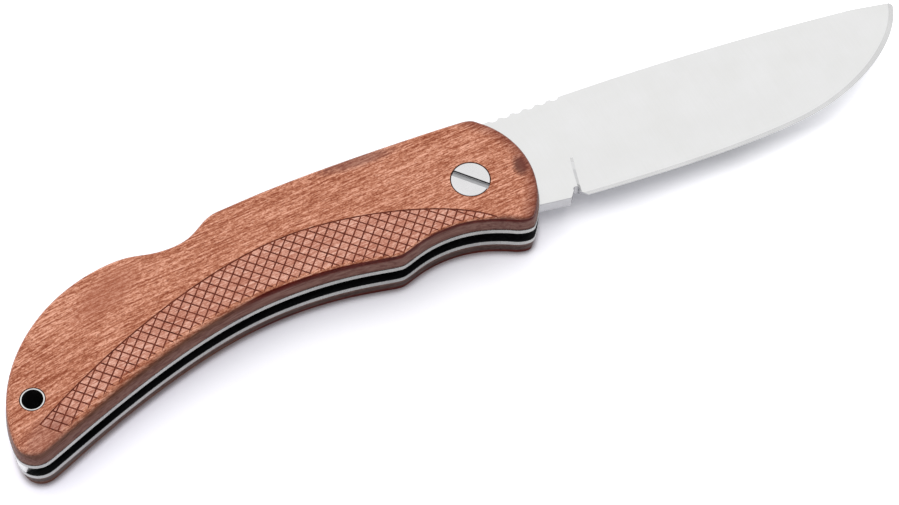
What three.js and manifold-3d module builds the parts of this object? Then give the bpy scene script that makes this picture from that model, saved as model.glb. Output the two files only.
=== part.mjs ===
// Folding pocket knife with a back lock, shown open and lying on its side. Millimetres, +Z up.
// The origin is on the pivot axis in the plane of the lower face. +X runs to the tip, +Y to the spine.
import * as THREE from 'three';
import { mergeVertices } from 'three/addons/utils/BufferGeometryUtils.js';
import Module from 'manifold-3d';

const wasm = await Module();
wasm.setup();
const { degToRad } = THREE.MathUtils;
const at = (x, y) => new THREE.Vector2(x, y);
const toward = (angle) => at(Math.cos(angle), Math.sin(angle));

// Layers through the thickness
const scaleThickness = 4.1;
const linerThickness = 1.25;
const bladeThickness = 2.9;
const washerThickness = 0.15;
const washerPlay = 0.05;

// Fits
const seatGap = 0.3;
const sweepGap = 0.5;

// Reach of the blade from the pivot, and room for its tip inside the butt when closed
const bladeReach = 106.4;
const tipRoom = 1.45;

// Handle outline, front to butt. A knot holds a place, a heading in degrees and the pull of its curves
const frontCentre = { x: -5.1, y: -0.4 };
const frontRadius = 18.8;
const frontArc = [-45, 44];
const noseCorner = { x: 7.5, y: 14.1 };
const spineFront = { x: 4.3, y: 14.4 };
const spineMiddle = { x: -29.7, y: 18.45 };
const spineRear = { x: -49, y: 18.05, heading: 176, after: 5.2 };
const recessFloor = { x: -61, y: 14.55, heading: 180, before: 5.5, after: 6.3 };
const humpTop = { x: -74.4, y: 16.9, heading: 180, before: 6.2 };
const humpPull = 0.58;
const buttTop = { x: -bladeReach - tipRoom, y: -12.85, heading: 270, before: 14.5 };
const buttRadius = 4.45;
const buttTurn = 103;
const buttPull = 4.5;
const archTop = { x: -50, y: -5.4, heading: 0, before: 19.9, after: 17.3 };
const bumpTip = { x: -20.7, y: -10, heading: 0, before: 2.7, after: 1.6 };
const fingerTop = { x: -11.4, y: -8.55, heading: 0, before: 4.7, after: 7.6 };
const cornerStart = { x: 4.5, y: -13.65, heading: -31, before: 4.4 };
const cornerTip = { x: 7.25, y: -14.8 };

// Wooden scales
const scaleSetback = 0.12;
const sideLean = 0.4;
const edgeRadius = 1.0;
const bellyEdge = [{ x: -104, radius: 0.8 }, { x: -86, radius: 1.8 }, { x: -45, radius: 1.1 },
  { x: -20, radius: 0.5 }];

// Blade
const tip = { x: bladeReach, y: 0.8, heading: 66.6, before: 9.6 };
const spineStart = { x: 5, y: 14.5 };
const spineControl = { x: 55.7, y: 11.8 };
const heel = { x: 22.2, y: -11, heading: -8.9, after: 16.2 };
const bellyLow = { x: 71, y: -15.9, heading: 0, before: 16, after: 16 };
const ricassoStart = { x: 11.6, y: -9.3 };
const ricassoEnd = { x: 18.3, y: -10.4 };
const rimRadius = 6.5;
const closedAngle = -171;
const grindHeight = 10;
const grindShoulder = 1.5;
const grindShoulderDepth = 0.2;
const edgeLand = 0.1;
const bevelWidth = 0.7;
const bevelThickness = 0.5;
const plungeStart = { x: 20.9, y: -10.8 };
const plungeLean = 1.1;
const plungeCurve = 1.6;
const plungeReach = 0.25;
const plungeWidth = 0.8;
const grindRunOut = { x: 3, y: 6 };
const choilTop = { x: 20.3, y: -8.7 };
const choilRadius = 0.85;
const choilFlare = 2;
const choilDepth = 4;
const jimpingStart = 13.15;
const jimpingPitch = 2.83;
const jimpingCount = 6;
const jimpingRadius = 1.25;
const jimpingDepth = 0.55;
const nickCentre = { x: 58, y: 6.2 };
const nickWheelRadius = 20;
const nickDepth = 0.7;
const nickWidth = 1.6;

// Pivot
const headRadius = 4.1;
const headThickness = 1.8;
const headChamfer = 0.2;
const barrelRadius = 2.6;
const screwRadius = 1.6;
const barrelFloor = 2.6;
const slotWidth = 1.4;
const slotDepth = 0.55;
const slotAngle = -50.5;
const washerRadius = 5.4;

// Back lock
const rocker = { x: -36, y: 13.4 };
const rockerPinRadius = 1.5;
const barRearRadius = 31.4;
const barUndersideFront = { x: -5, y: 9.5 };
const barUndersideRear = { x: -52, y: 10.7 };
const padHeight = 11.6;
const padLength = 10;
const barOverrun = 10;
const toothAngle = 52.3;
const toothWidth = 4.2;
const toothLean = 1.3;
const springThickness = 1.4;
const springRoot = { x: -85, y: 8 };
const springBend = { x: -73, y: 9.4 };
const springTipX = -61.5;
const springGrip = 7;

// Tail
const spacerEnd = -15.2;
const wellSweep = 16;
const spacerPinRadius = 1.25;
const pinBehindHump = 2.5;
const pinAbovePad = 2.4;
const buttToPin = 13.35;
const rearPinY = 4.6;
const spacerPins = [
  { x: humpTop.x - pinBehindHump, y: padHeight + pinAbovePad },
  { x: buttTop.x + buttToPin, y: rearPinY },
];
const pinSink = 1.0;
const buttToTube = 7.45;
const lanyard = { x: buttTop.x + buttToTube, y: -5.3 };
const tubeRadius = 2.5;
const tubeWall = 0.4;
const tubeChamfer = 0.15;

// Facets
const facetAngle = degToRad(12);
const facetError = 0.04;
const roundFacets = 32;
const fineFacets = 128;
const grindStations = 36;
const edgeSteps = 3;

// How far a cutter runs past a face, and past the whole handle
const overcut = 2;
const beyond = 1.5 * bladeReach;

// Heights of the layers, from the lower face up
const linerBottom = scaleThickness;
const slotBottom = linerBottom + linerThickness;
const bladeBottom = slotBottom + washerThickness + washerPlay;
const bladeTop = bladeBottom + bladeThickness;
const slotTop = bladeTop + washerThickness + washerPlay;
const linerTop = slotTop + linerThickness;
const handleTop = linerTop + scaleThickness;
const bladeMiddle = (bladeBottom + bladeTop) / 2;

// The lock tooth's front foot, just off the tang's rim, and its distance from the rocker pin
const toothRadius = rimRadius + seatGap;
const toothFoot = toward(degToRad(toothAngle)).multiplyScalar(toothRadius);
const barReach = toothFoot.distanceTo(rocker);

// A closed solid from a geometry, with its seams merged and its faces turned outwards
function solid(geometry) {
  const bare = new THREE.BufferGeometry().setAttribute('position', geometry.getAttribute('position'));
  const merged = mergeVertices(geometry.index ? bare.setIndex(geometry.index) : bare);
  const points = merged.getAttribute('position').array;
  const corner = (i) => new THREE.Vector3().fromArray(points, 3 * i);
  const triangles = [];
  let volume = 0;
  for (let i = 0; i < merged.index.count; i += 3) {
    const [a, b, c] = merged.index.array.slice(i, i + 3);
    if (a === b || b === c || c === a) continue;
    triangles.push([a, b, c]);
    volume += corner(a).dot(corner(b).cross(corner(c)));
  }
  const triVerts = new Uint32Array(triangles.flatMap(([a, b, c]) => (volume < 0 ? [a, c, b] : [a, b, c])));
  return new wasm.Manifold(new wasm.Mesh({ numProp: 3, vertProperties: new Float32Array(points), triVerts }));
}

// A flat plate of the given outline between two heights
function plate(outline, bottom, top) {
  const options = { depth: top - bottom, bevelEnabled: false };
  return solid(new THREE.ExtrudeGeometry(new THREE.Shape(outline), options).translate(0, 0, bottom));
}

// An upright round bar, also used to bore holes
function rod(centre, radius, bottom, top, facets = roundFacets) {
  const bar = new THREE.CylinderGeometry(radius, radius, top - bottom, facets);
  return solid(bar.rotateX(Math.PI / 2).translate(centre.x, centre.y, (bottom + top) / 2));
}

// A solid turned about an upright axis from a profile of radius and height
function turned(profile, centre = at(0, 0)) {
  const points = profile.map(([radius, height]) => at(radius, height));
  const lathe = new THREE.LatheGeometry(points, roundFacets);
  return solid(lathe.rotateX(Math.PI / 2).translate(centre.x, centre.y, 0));
}

// A skin through matching sections, each an outline and the place of its points, capped at both ends
function loft(sections) {
  const size = sections[0].outline.length;
  const positions = sections.flatMap(({ outline, place }) => outline.map(place)).flatMap((p) => p.toArray());
  const caps = THREE.ShapeUtils.triangulateShape(sections[0].outline, []);
  const lid = THREE.ShapeUtils.triangulateShape(sections.at(-1).outline, []);
  const last = size * (sections.length - 1);
  const index = caps.flatMap(([a, b, c]) => [c, b, a]).concat(lid.flat().map((i) => i + last));
  for (let row = 0; row < sections.length - 1; row++) {
    for (let i = 0; i < size; i++) {
      const a = row * size + i;
      const b = row * size + (i + 1) % size;
      index.push(a, b, b + size, a, b + size, a + size);
    }
  }
  const geometry = new THREE.BufferGeometry();
  geometry.setAttribute('position', new THREE.Float32BufferAttribute(positions, 3));
  return solid(geometry.setIndex(index));
}

// Points along a path, close together where it bends
function trace(path) {
  const samples = 24;
  return path.curves.flatMap((curve) => {
    let turn = 0;
    for (let i = 0; i < samples; i++) {
      const from = curve.getTangent(i / samples);
      turn += Math.abs(Math.asin(from.cross(curve.getTangent((i + 1) / samples))));
    }
    const fine = Math.sqrt(curve.getLength() * turn / (8 * facetError));
    return curve.getPoints(Math.max(1, Math.ceil(turn / facetAngle), Math.ceil(fine))).slice(1);
  });
}

// The way in from each point of an outline, as far as draws both sides of the point in by one
function inwards(outline) {
  return outline.map((point, i) => {
    const before = point.clone().sub(outline.at(i - 1)).normalize();
    const after = outline[(i + 1) % outline.length].clone().sub(point).normalize();
    return at(-before.y - after.y, before.x + after.x).divideScalar(1 + before.dot(after));
  });
}

// A curve from the end of a path to a knot, along the headings of both
function bend(path, from, to) {
  const leave = at(from.x, from.y).addScaledVector(toward(degToRad(from.heading)), from.after);
  const arrive = at(to.x, to.y).addScaledVector(toward(degToRad(to.heading)), -to.before);
  path.bezierCurveTo(leave.x, leave.y, arrive.x, arrive.y, to.x, to.y);
}

// A strip of even width along a curve
function strip(curve, width) {
  const rails = [1, -1].map((side) => curve.getPoints(roundFacets / 4).map((point, i, all) => {
    const along = curve.getTangent(i / (all.length - 1));
    return point.clone().add(at(-along.y, along.x).multiplyScalar(side * width / 2));
  }));
  return [...rails[1], ...rails[0].reverse()];
}

// Where two circles cross, on the left going from the first centre to the second
function crossing(centreA, radiusA, centreB, radiusB) {
  const unit = at(centreB.x - centreA.x, centreB.y - centreA.y);
  const span = unit.length();
  unit.normalize();
  const along = (span ** 2 + radiusA ** 2 - radiusB ** 2) / (2 * span);
  const aside = Math.sqrt(radiusA ** 2 - along ** 2);
  return at(centreA.x + unit.x * along - unit.y * aside, centreA.y + unit.y * along + unit.x * aside);
}

const angleFrom = (centre, point) => Math.atan2(point.y - centre.y, point.x - centre.x);
const origin = at(0, 0);

// The side view of the liners, which the spacer and the lock bar share
function handlePath() {
  const path = new THREE.Path();
  path.absarc(frontCentre.x, frontCentre.y, frontRadius, ...frontArc.map(degToRad), false);
  path.quadraticCurveTo(noseCorner.x, noseCorner.y, spineFront.x, spineFront.y);
  path.quadraticCurveTo(spineMiddle.x, spineMiddle.y, spineRear.x, spineRear.y);
  bend(path, spineRear, recessFloor);
  bend(path, recessFloor, humpTop);
  bend(path, { ...humpTop, after: humpPull * (humpTop.x - buttTop.x) }, buttTop);
  path.absarc(buttTop.x + buttRadius, buttTop.y, buttRadius, Math.PI, degToRad(180 + buttTurn), false);
  const { x, y } = path.currentPoint;
  bend(path, { x, y, heading: buttTurn - 90, after: buttPull }, archTop);
  bend(path, archTop, bumpTip);
  bend(path, bumpTip, fingerTop);
  bend(path, fingerTop, cornerStart);
  const front = path.curves[0].getPoint(0);
  path.quadraticCurveTo(cornerTip.x, cornerTip.y, front.x, front.y);
  return path;
}

// The cutting edge from the heel to the tip
function edgePath() {
  const path = new THREE.Path();
  path.moveTo(heel.x, heel.y);
  bend(path, heel, bellyLow);
  bend(path, bellyLow, tip);
  return path;
}

// The side view of the whole blade, with the shoulder that the lock tooth meets and the round tang
function bladePath() {
  const shoulderRadius = barReach + seatGap;
  const shoulderReach = Math.sqrt(shoulderRadius ** 2 - (spineStart.y - rocker.y) ** 2);
  const shoulderTop = at(rocker.x + shoulderReach, spineStart.y);
  const shoulderFoot = crossing(rocker, shoulderRadius, origin, rimRadius);
  const corner = at(ricassoStart.x, ricassoStart.y);
  const rimEnd = corner.angle() - Math.acos(rimRadius / corner.length());
  const path = new THREE.Path();
  path.moveTo(ricassoEnd.x, ricassoEnd.y);
  path.lineTo(heel.x, heel.y);
  path.curves.push(...edgePath().curves);
  path.currentPoint.copy(tip);
  path.quadraticCurveTo(spineControl.x, spineControl.y, shoulderTop.x, shoulderTop.y);
  path.absarc(rocker.x, rocker.y, shoulderRadius, angleFrom(rocker, shoulderTop),
    angleFrom(rocker, shoulderFoot), true);
  path.absarc(0, 0, rimRadius, shoulderFoot.angle(), rimEnd, false);
  path.lineTo(ricassoStart.x, ricassoStart.y);
  path.lineTo(ricassoEnd.x, ricassoEnd.y);
  return path;
}

// One side of the grind: the steel taken off from the plunge line forward, deeper toward the edge
function grind(side) {
  const half = bladeThickness / 2;
  const shoulder = bevelThickness / 2;
  const depths = [[-overcut, edgeLand / 2], [0, edgeLand / 2], [bevelWidth, shoulder],
    [grindHeight - grindShoulder, half - grindShoulderDepth], [grindHeight, half],
    [grindHeight, half + overcut], [-overcut, half + overcut]];
  const edge = new THREE.Path();
  edge.moveTo(plungeStart.x, plungeStart.y);
  edge.lineTo(heel.x, heel.y);
  edge.curves.push(...edgePath().curves);
  edge.currentPoint.copy(tip);
  edge.lineTo(tip.x + grindRunOut.x, tip.y + grindRunOut.y);
  const sections = [];
  for (let i = -1; i <= grindStations; i++) {
    const u = Math.max(0, i) / grindStations;
    const foot = edge.getPointAt(u);
    const along = edge.getTangentAt(u);
    const inward = at(-along.y, along.x);
    const start = i < 0 ? -plungeWidth : 0;
    const outline = depths.map(([from, height]) => at(from, i < 0 ? Math.max(height, half) : height));
    const fade = Math.max(0, 1 - u / plungeReach);
    sections.push({
      outline,
      place: (p) => {
        const lean = plungeLean * fade * Math.max(0, p.x / grindHeight) ** plungeCurve;
        const spot = foot.clone().addScaledVector(inward, p.x).addScaledVector(along, start + lean);
        return new THREE.Vector3(spot.x, spot.y, bladeMiddle + side * p.y);
      },
    });
  }
  return loft(side > 0 ? sections : sections.reverse());
}

// The notch that separates the ricasso from the sharpened edge
function choil() {
  const shape = new THREE.Path();
  const spread = choilRadius + choilFlare;
  const foot = choilTop.y - choilDepth;
  shape.moveTo(choilTop.x - spread, foot);
  shape.lineTo(choilTop.x + spread, foot);
  shape.lineTo(choilTop.x + choilRadius, choilTop.y - choilRadius);
  shape.absarc(choilTop.x, choilTop.y - choilRadius, choilRadius, 0, Math.PI, false);
  shape.lineTo(choilTop.x - spread, foot);
  return plate(trace(shape), bladeBottom - overcut, bladeTop + overcut);
}

function makeBlade() {
  let blade = plate(trace(bladePath()), bladeBottom, bladeTop);
  blade = blade.subtract(grind(1)).subtract(grind(-1)).subtract(choil());
  blade = blade.subtract(rod(origin, barrelRadius + seatGap, bladeBottom - overcut, bladeTop + overcut));
  const spine = new THREE.QuadraticBezierCurve(tip, spineControl, spineStart);
  for (let i = 0; i < jimpingCount; i++) {
    const x = jimpingStart + i * jimpingPitch;
    const height = spine.getPoint((tip.x - x) / (tip.x - spineStart.x)).y;
    const centre = at(x, height + jimpingRadius - jimpingDepth);
    blade = blade.subtract(rod(centre, jimpingRadius, bladeBottom - overcut, bladeTop + overcut));
  }
  const flatSide = nickWheelRadius - nickDepth;
  const wheel = new THREE.CylinderGeometry(nickWheelRadius, flatSide, nickWidth, fineFacets);
  wheel.translate(nickCentre.x, nickCentre.y, bladeBottom + nickDepth - nickWheelRadius);
  return blade.subtract(solid(wheel));
}

// The rocker that runs along the spine, its tooth in front and its thumb pad behind
function makeLockBar() {
  const toothBack = toothFoot.x - toothWidth;
  const toothBottom = toward(Math.acos(toothBack / toothRadius)).multiplyScalar(toothRadius);
  const above = Math.asin(barOverrun / barReach);
  const padEnd = at(rocker.x - Math.sqrt(barRearRadius ** 2 - (padHeight - rocker.y) ** 2), padHeight);
  const path = new THREE.Path();
  path.moveTo(toothBottom.x, toothBottom.y);
  path.absarc(0, 0, toothRadius, toothBottom.angle(), toothFoot.angle(), true);
  path.absarc(rocker.x, rocker.y, barReach, angleFrom(rocker, toothFoot), above, false);
  path.absarc(rocker.x, rocker.y, barRearRadius, Math.PI - above, Math.PI + angleFrom(padEnd, rocker), false);
  path.lineTo(padEnd.x + padLength, padHeight);
  path.lineTo(barUndersideRear.x, barUndersideRear.y);
  path.lineTo(barUndersideFront.x, barUndersideFront.y);
  path.lineTo(toothBack - toothLean, barUndersideFront.y);
  path.lineTo(toothBottom.x, toothBottom.y);
  const bar = plate(trace(path), bladeBottom, bladeTop);
  return bar
    .intersect(plate(handleOutline, bladeBottom, bladeTop))
    .subtract(rod(rocker, rockerPinRadius + seatGap, bladeBottom - overcut, bladeTop + overcut));
}

// The leaf under the thumb pad, which holds the tooth down
function springCurve() {
  const tipHeight = padHeight - seatGap - springThickness / 2;
  return new THREE.QuadraticBezierCurve(springRoot, springBend, at(springTipX, tipHeight));
}

function makeSpring() {
  return plate(strip(springCurve(), springThickness), bladeBottom, bladeTop);
}

// The room that the blade needs at the butt: its edge when closed and the path of its tip, each with a gap
function bladeWell() {
  const closed = degToRad(closedAngle);
  const edge = edgePath();
  const wall = [];
  for (let i = 0; i <= roundFacets; i++) {
    const along = edge.getTangentAt(i / roundFacets);
    const point = edge.getPointAt(i / roundFacets).add(at(along.y, -along.x).multiplyScalar(sweepGap));
    wall.push(point.rotateAround(origin, closed));
  }
  const end = at(tip.x, tip.y);
  const start = end.angle() + closed;
  const sweep = new THREE.Path();
  sweep.absarc(0, 0, end.length() + sweepGap, start, start + degToRad(wellSweep), false);
  return plate([...wall, ...trace(sweep)], slotBottom - overcut, slotTop + overcut);
}

function makeSpacer() {
  const bottom = slotBottom - overcut;
  const top = slotTop + overcut;
  let spacer = plate(handleOutline, slotBottom, slotTop).subtract(bladeWell());
  spacer = spacer.subtract(rod(rocker, barRearRadius + seatGap, bottom, top, fineFacets));
  const relief = springRoot.x + springGrip;
  const shelf = padHeight - seatGap;
  const front = [at(relief, -beyond), at(beyond, -beyond), at(beyond, beyond), at(rocker.x, beyond),
    at(rocker.x, shelf), at(relief, shelf)];
  spacer = spacer.subtract(plate(front, bottom, top));
  const mouth = [at(-beyond, -beyond), at(relief, -beyond), at(relief, spacerEnd), at(-beyond, spacerEnd)];
  spacer = spacer.subtract(plate(mouth, bottom, top));
  spacer = spacer.subtract(plate(strip(springCurve(), springThickness + 2 * seatGap), bottom, top));
  spacer = spacer.subtract(rod(lanyard, tubeRadius + seatGap, bottom, top));
  for (const pin of spacerPins) spacer = spacer.subtract(rod(pin, spacerPinRadius + seatGap, bottom, top));
  return spacer;
}

const pinHoles = [[rocker, rockerPinRadius], ...spacerPins.map((pin) => [pin, spacerPinRadius])];

// A steel side plate, drilled for the pivot, the pins and the lanyard tube
function makeLiner(bottom) {
  const top = bottom + linerThickness;
  let liner = plate(handleOutline, bottom, top);
  for (const [centre, radius] of [[origin, barrelRadius], [lanyard, tubeRadius], ...pinHoles]) {
    liner = liner.subtract(rod(centre, radius + seatGap, bottom - overcut, top + overcut));
  }
  return liner;
}

// How round a scale's edge is along the belly: crisp at the fingers, soft under the palm
function bellyRadius(x) {
  let radius = bellyEdge[0].radius;
  for (let i = 1; i < bellyEdge.length; i++) {
    const share = THREE.MathUtils.smoothstep(x, bellyEdge[i - 1].x, bellyEdge[i].x);
    radius += share * (bellyEdge[i].radius - bellyEdge[i - 1].radius);
  }
  return radius;
}

// A wooden scale from its liner out to its face: leaning sides, a rounded edge and a flat face
function makeScale(seat, outward) {
  const inward = inwards(handleOutline);
  const radii = handleOutline.map(({ x }, i) => {
    const belly = THREE.MathUtils.smoothstep(inward[i].y, 0, 1);
    return edgeRadius + belly * (bellyRadius(x) - edgeRadius);
  });
  const section = (drawnIn, height) => ({
    outline: handleOutline.map((point, i) => point.clone().addScaledVector(inward[i], drawnIn(radii[i]))),
    place: (p, i) => new THREE.Vector3(p.x, p.y, seat + outward * height(radii[i])),
  });
  const sections = [section(() => scaleSetback, () => 0)];
  for (let step = 0; step <= edgeSteps; step++) {
    const angle = step / edgeSteps * Math.PI / 2;
    sections.push(section((radius) => scaleSetback + sideLean + radius * (1 - Math.cos(angle)),
      (radius) => scaleThickness - radius * (1 - Math.sin(angle))));
  }
  let scale = loft(outward > 0 ? sections : sections.reverse());
  const bore = (centre, radius, from, to) => {
    const heights = [seat + outward * from, seat + outward * to].sort((a, b) => a - b);
    scale = scale.subtract(rod(centre, radius + seatGap, ...heights));
  };
  bore(origin, barrelRadius, -overcut, scaleThickness + overcut);
  bore(origin, headRadius, scaleThickness - headThickness, scaleThickness + overcut);
  bore(lanyard, tubeRadius, -overcut, scaleThickness + overcut);
  for (const [centre, radius] of pinHoles) bore(centre, radius, -overcut, pinSink + seatGap);
  return scale;
}

// The slotted screw, flush in the upper scale
function makeScrew() {
  const shankEnd = barrelFloor + seatGap;
  const screw = turned([[0, shankEnd], [screwRadius, shankEnd], [screwRadius, handleTop - headThickness],
    [headRadius, handleTop - headThickness], [headRadius, handleTop - headChamfer],
    [headRadius - headChamfer, handleTop], [0, handleTop]]);
  const slot = new THREE.BoxGeometry(3 * headRadius, slotWidth, 2 * slotDepth);
  return screw.subtract(solid(slot.rotateZ(degToRad(slotAngle)).translate(0, 0, handleTop)));
}

// The sleeve that the blade turns on, with its own flush head in the lower scale
function makeBarrel() {
  const end = handleTop - headThickness - seatGap;
  const bore = screwRadius + seatGap;
  return turned([[0, 0], [headRadius - headChamfer, 0], [headRadius, headChamfer],
    [headRadius, headThickness], [barrelRadius, headThickness], [barrelRadius, end], [bore, end],
    [bore, barrelFloor], [0, barrelFloor]]);
}

function makeWasher(bottom) {
  const bore = barrelRadius + seatGap;
  const top = bottom + washerThickness;
  return turned([[bore, bottom], [washerRadius, bottom], [washerRadius, top], [bore, top], [bore, bottom]]);
}

function makePin(centre, radius) {
  return rod(centre, radius, linerBottom - pinSink, linerTop + pinSink);
}

// The thin tube through the butt, open from face to face
function makeTube() {
  const bore = tubeRadius - tubeWall;
  const profile = [[bore, tubeChamfer], [bore + tubeChamfer, 0], [tubeRadius, 0], [tubeRadius, handleTop],
    [bore + tubeChamfer, handleTop], [bore, handleTop - tubeChamfer], [bore, tubeChamfer]];
  return turned(profile, lanyard);
}

const handleOutline = trace(handlePath());

const wood = new THREE.MeshStandardMaterial({ color: 0xb87860, roughness: 0.6, metalness: 0 });
const satinSteel = new THREE.MeshStandardMaterial({ color: 0xd8d8d6, roughness: 0.32, metalness: 1 });
const polishedSteel = new THREE.MeshStandardMaterial({ color: 0xe2e2e0, roughness: 0.2, metalness: 1 });
const springSteel = new THREE.MeshStandardMaterial({ color: 0xa8a9ac, roughness: 0.38, metalness: 1 });
const bronze = new THREE.MeshStandardMaterial({ color: 0xb08a52, roughness: 0.4, metalness: 1 });

const knife = new THREE.Group();

// Adds a finished solid to the knife as a named mesh
function add(name, body, material) {
  const { vertProperties, triVerts } = body.getMesh();
  const geometry = new THREE.BufferGeometry();
  geometry.setAttribute('position', new THREE.BufferAttribute(vertProperties, 3));
  geometry.setIndex(new THREE.BufferAttribute(triVerts, 1));
  geometry.computeVertexNormals();
  const mesh = new THREE.Mesh(geometry, material);
  mesh.name = name;
  knife.add(mesh);
}

add('upper_scale', makeScale(linerTop, 1), wood);
add('lower_scale', makeScale(linerBottom, -1), wood);
add('upper_liner', makeLiner(slotTop), polishedSteel);
add('lower_liner', makeLiner(linerBottom), polishedSteel);
add('blade', makeBlade(), satinSteel);
add('lock_bar', makeLockBar(), satinSteel);
add('back_spring', makeSpring(), springSteel);
add('tail_spacer', makeSpacer(), polishedSteel);
add('pivot_screw', makeScrew(), polishedSteel);
add('pivot_barrel', makeBarrel(), polishedSteel);
add('lower_washer', makeWasher(slotBottom), bronze);
add('upper_washer', makeWasher(slotTop - washerThickness), bronze);
add('rocker_pin', makePin(rocker, rockerPinRadius), polishedSteel);
add('front_spacer_pin', makePin(spacerPins[0], spacerPinRadius), polishedSteel);
add('rear_spacer_pin', makePin(spacerPins[1], spacerPinRadius), polishedSteel);
add('lanyard_tube', makeTube(), polishedSteel);

export default knife;
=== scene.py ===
# Looks of a folding pocket knife with wooden scales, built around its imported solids.
# Sizes are in millimetres, and each piece is turned into metres when its shape is finished.
import math
from collections import namedtuple

import bmesh
import bpy
from mathutils import Matrix, Vector
from mathutils.geometry import interpolate_bezier


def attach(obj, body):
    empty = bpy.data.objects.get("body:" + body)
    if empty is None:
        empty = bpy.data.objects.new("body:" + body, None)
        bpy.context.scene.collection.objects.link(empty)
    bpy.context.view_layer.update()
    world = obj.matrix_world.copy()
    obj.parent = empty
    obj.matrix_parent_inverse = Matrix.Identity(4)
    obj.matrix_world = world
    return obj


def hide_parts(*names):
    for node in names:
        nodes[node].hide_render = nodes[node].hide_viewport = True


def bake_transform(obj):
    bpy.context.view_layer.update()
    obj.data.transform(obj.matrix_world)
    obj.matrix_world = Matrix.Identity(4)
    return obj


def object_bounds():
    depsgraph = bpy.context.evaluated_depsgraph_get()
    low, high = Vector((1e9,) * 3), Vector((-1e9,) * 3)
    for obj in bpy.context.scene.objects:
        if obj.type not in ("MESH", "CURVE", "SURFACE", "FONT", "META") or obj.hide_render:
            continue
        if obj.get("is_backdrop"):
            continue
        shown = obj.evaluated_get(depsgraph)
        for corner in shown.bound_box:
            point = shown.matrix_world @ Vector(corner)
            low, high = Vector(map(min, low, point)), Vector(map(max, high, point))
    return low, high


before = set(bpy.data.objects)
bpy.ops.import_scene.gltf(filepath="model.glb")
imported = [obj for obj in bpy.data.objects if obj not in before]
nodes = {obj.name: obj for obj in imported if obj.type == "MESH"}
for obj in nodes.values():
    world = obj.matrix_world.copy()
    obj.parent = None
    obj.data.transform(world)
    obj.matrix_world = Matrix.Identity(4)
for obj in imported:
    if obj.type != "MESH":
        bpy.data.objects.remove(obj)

cad_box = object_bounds()
MM = 0.001

# A place on a curve, with the heading there and how far the curve keeps to it before and after
Knot = namedtuple("Knot", "x y heading before after", defaults=(0, 0))

# Layers through the thickness, from the lower face up
LINER_BOTTOM = 4.1
SLOT_BOTTOM = 5.35
BLADE_BOTTOM = 5.55
BLADE_TOP = 8.45
SLOT_TOP = 8.65
LINER_TOP = 9.9
HANDLE_TOP = 14.0
MIDDLE = HANDLE_TOP / 2

# Room between pieces, how far a cutter reaches past what it cuts, and how close points touch
GAP = 0.3
OVERCUT = 2.0
TOUCH = 1e-3

# Holes and round pieces: place and radius
PIVOT = (0, 0)
ROCKER = (-36, 13.4)
LANYARD = (-100.4, -5.3)
PINS = [(ROCKER, 1.5), ((-76.9, 14.0), 1.25), ((-94.5, 4.6), 1.25)]
PIN_SINK = 1.0
PIN_EASE = 0.15
BARREL_RADIUS = 2.6
BARREL_FLOOR = 2.6
BARREL_EASE = 0.1
SCREW_RADIUS = 1.6
SCREW_EASE = 0.2
HEAD_RADIUS = 4.1
HEAD_THICKNESS = 1.8
HEAD_CHAMFER = 0.2
HEAD_EASE = 0.08
HEAD_GAP = 0.16
SLOT_WIDTH = 1.4
SLOT_DEPTH = 0.55
SLOT_ANGLE = -50.5
SLOT_EASE = 0.12
SLOT_FACING = 0.9
TUBE_RADIUS = 2.5
TUBE_WALL = 0.4
TUBE_GAP = 0.12
WASHER_RADIUS = 5.4
WASHER_THICKNESS = 0.15
WASHER_EASE = 0.03
ROUND_STEPS = 128

# Wooden scales
SIDE_LEAN = 0.4
ROUNDING_STEPS = 12
STATION_PARTS = 3

# How far the edges of plates and of other flat pieces are broken
PLATE_EASE = 0.05
FLAT_EASE = 0.07

# Checkered panel: the knots of its upper border, the way from its rear corner to the belly, a corner
# beyond the belly, and two families of grooves with the angle of their normals, spacing and start
BORDER = [Knot(-101.3, -11.2, 27.9, after=19.1), Knot(-42.9, 5.4, 0, 17.4, 16.1),
          Knot(1.9, -12.5, -60.5, before=10.7)]
PANEL_END = Vector((16.8, -20))
PANEL_CORNER = Vector((12, -24, 0))
FAMILIES = [(42.6, 1.846, 0.928), (-45.2, 1.852, 1.541)]
GROOVE_REACH = 90
GROOVE_FACING = 0.85
CLIP_BELOW = 3
CLIP_ABOVE = 1
PAD_AREA = 4

# Sections of the grooves, as distance aside and height above the face
BORDER_GROOVE = [(-0.22, 0.1), (-0.11, -0.1), (0, -0.22), (0.11, -0.1), (0.22, 0.1)]
CHECKER_GROOVE = [(-0.3, 0.1), (-0.12, -0.03), (0, -0.18), (0.12, -0.03), (0.3, 0.1)]

# Where the finishes of the pads and the grooves stand in a scale's list, after the plain wood
PANEL = 1
GROOVE = 2

# Blade: the outline from the ricasso along the edge to the point, and back along the spine
RICASSO_START = (11.6, -9.3)
RICASSO_END = (18.3, -10.8)
HEEL = Knot(22.2, -11, -8.9, after=16.2)
BELLY_LOW = Knot(71, -15.9, 0, 16, 16)
TIP = Knot(106.4, 0.8, 66.6, before=9.6)
SPINE_TIP = (105.8, 1.53)
SPINE_CONTROL = (55.7, 11.65)
SPINE_START = (5, 14.5)

# Round rim of the tang, where the tooth rests on it, and half the blade's thickness
RIM_RADIUS = 6.5
TOOTH_ANGLE = 52.3
HALF_THICKNESS = 1.45

# Grind and edge bevel; the bevel's widths are at the heel and at the tip
GRIND_HEIGHT = 10.06
GRIND_BLEND = 2.1
GRIND_FADE = 0.002
GRIND_RUN_OUT = Vector((3, 6, 0))
EDGE_LAND = 0.05
BEVEL_WIDTH = (0.7, 1.3)
BEVEL_SLOPE = 0.286

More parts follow.
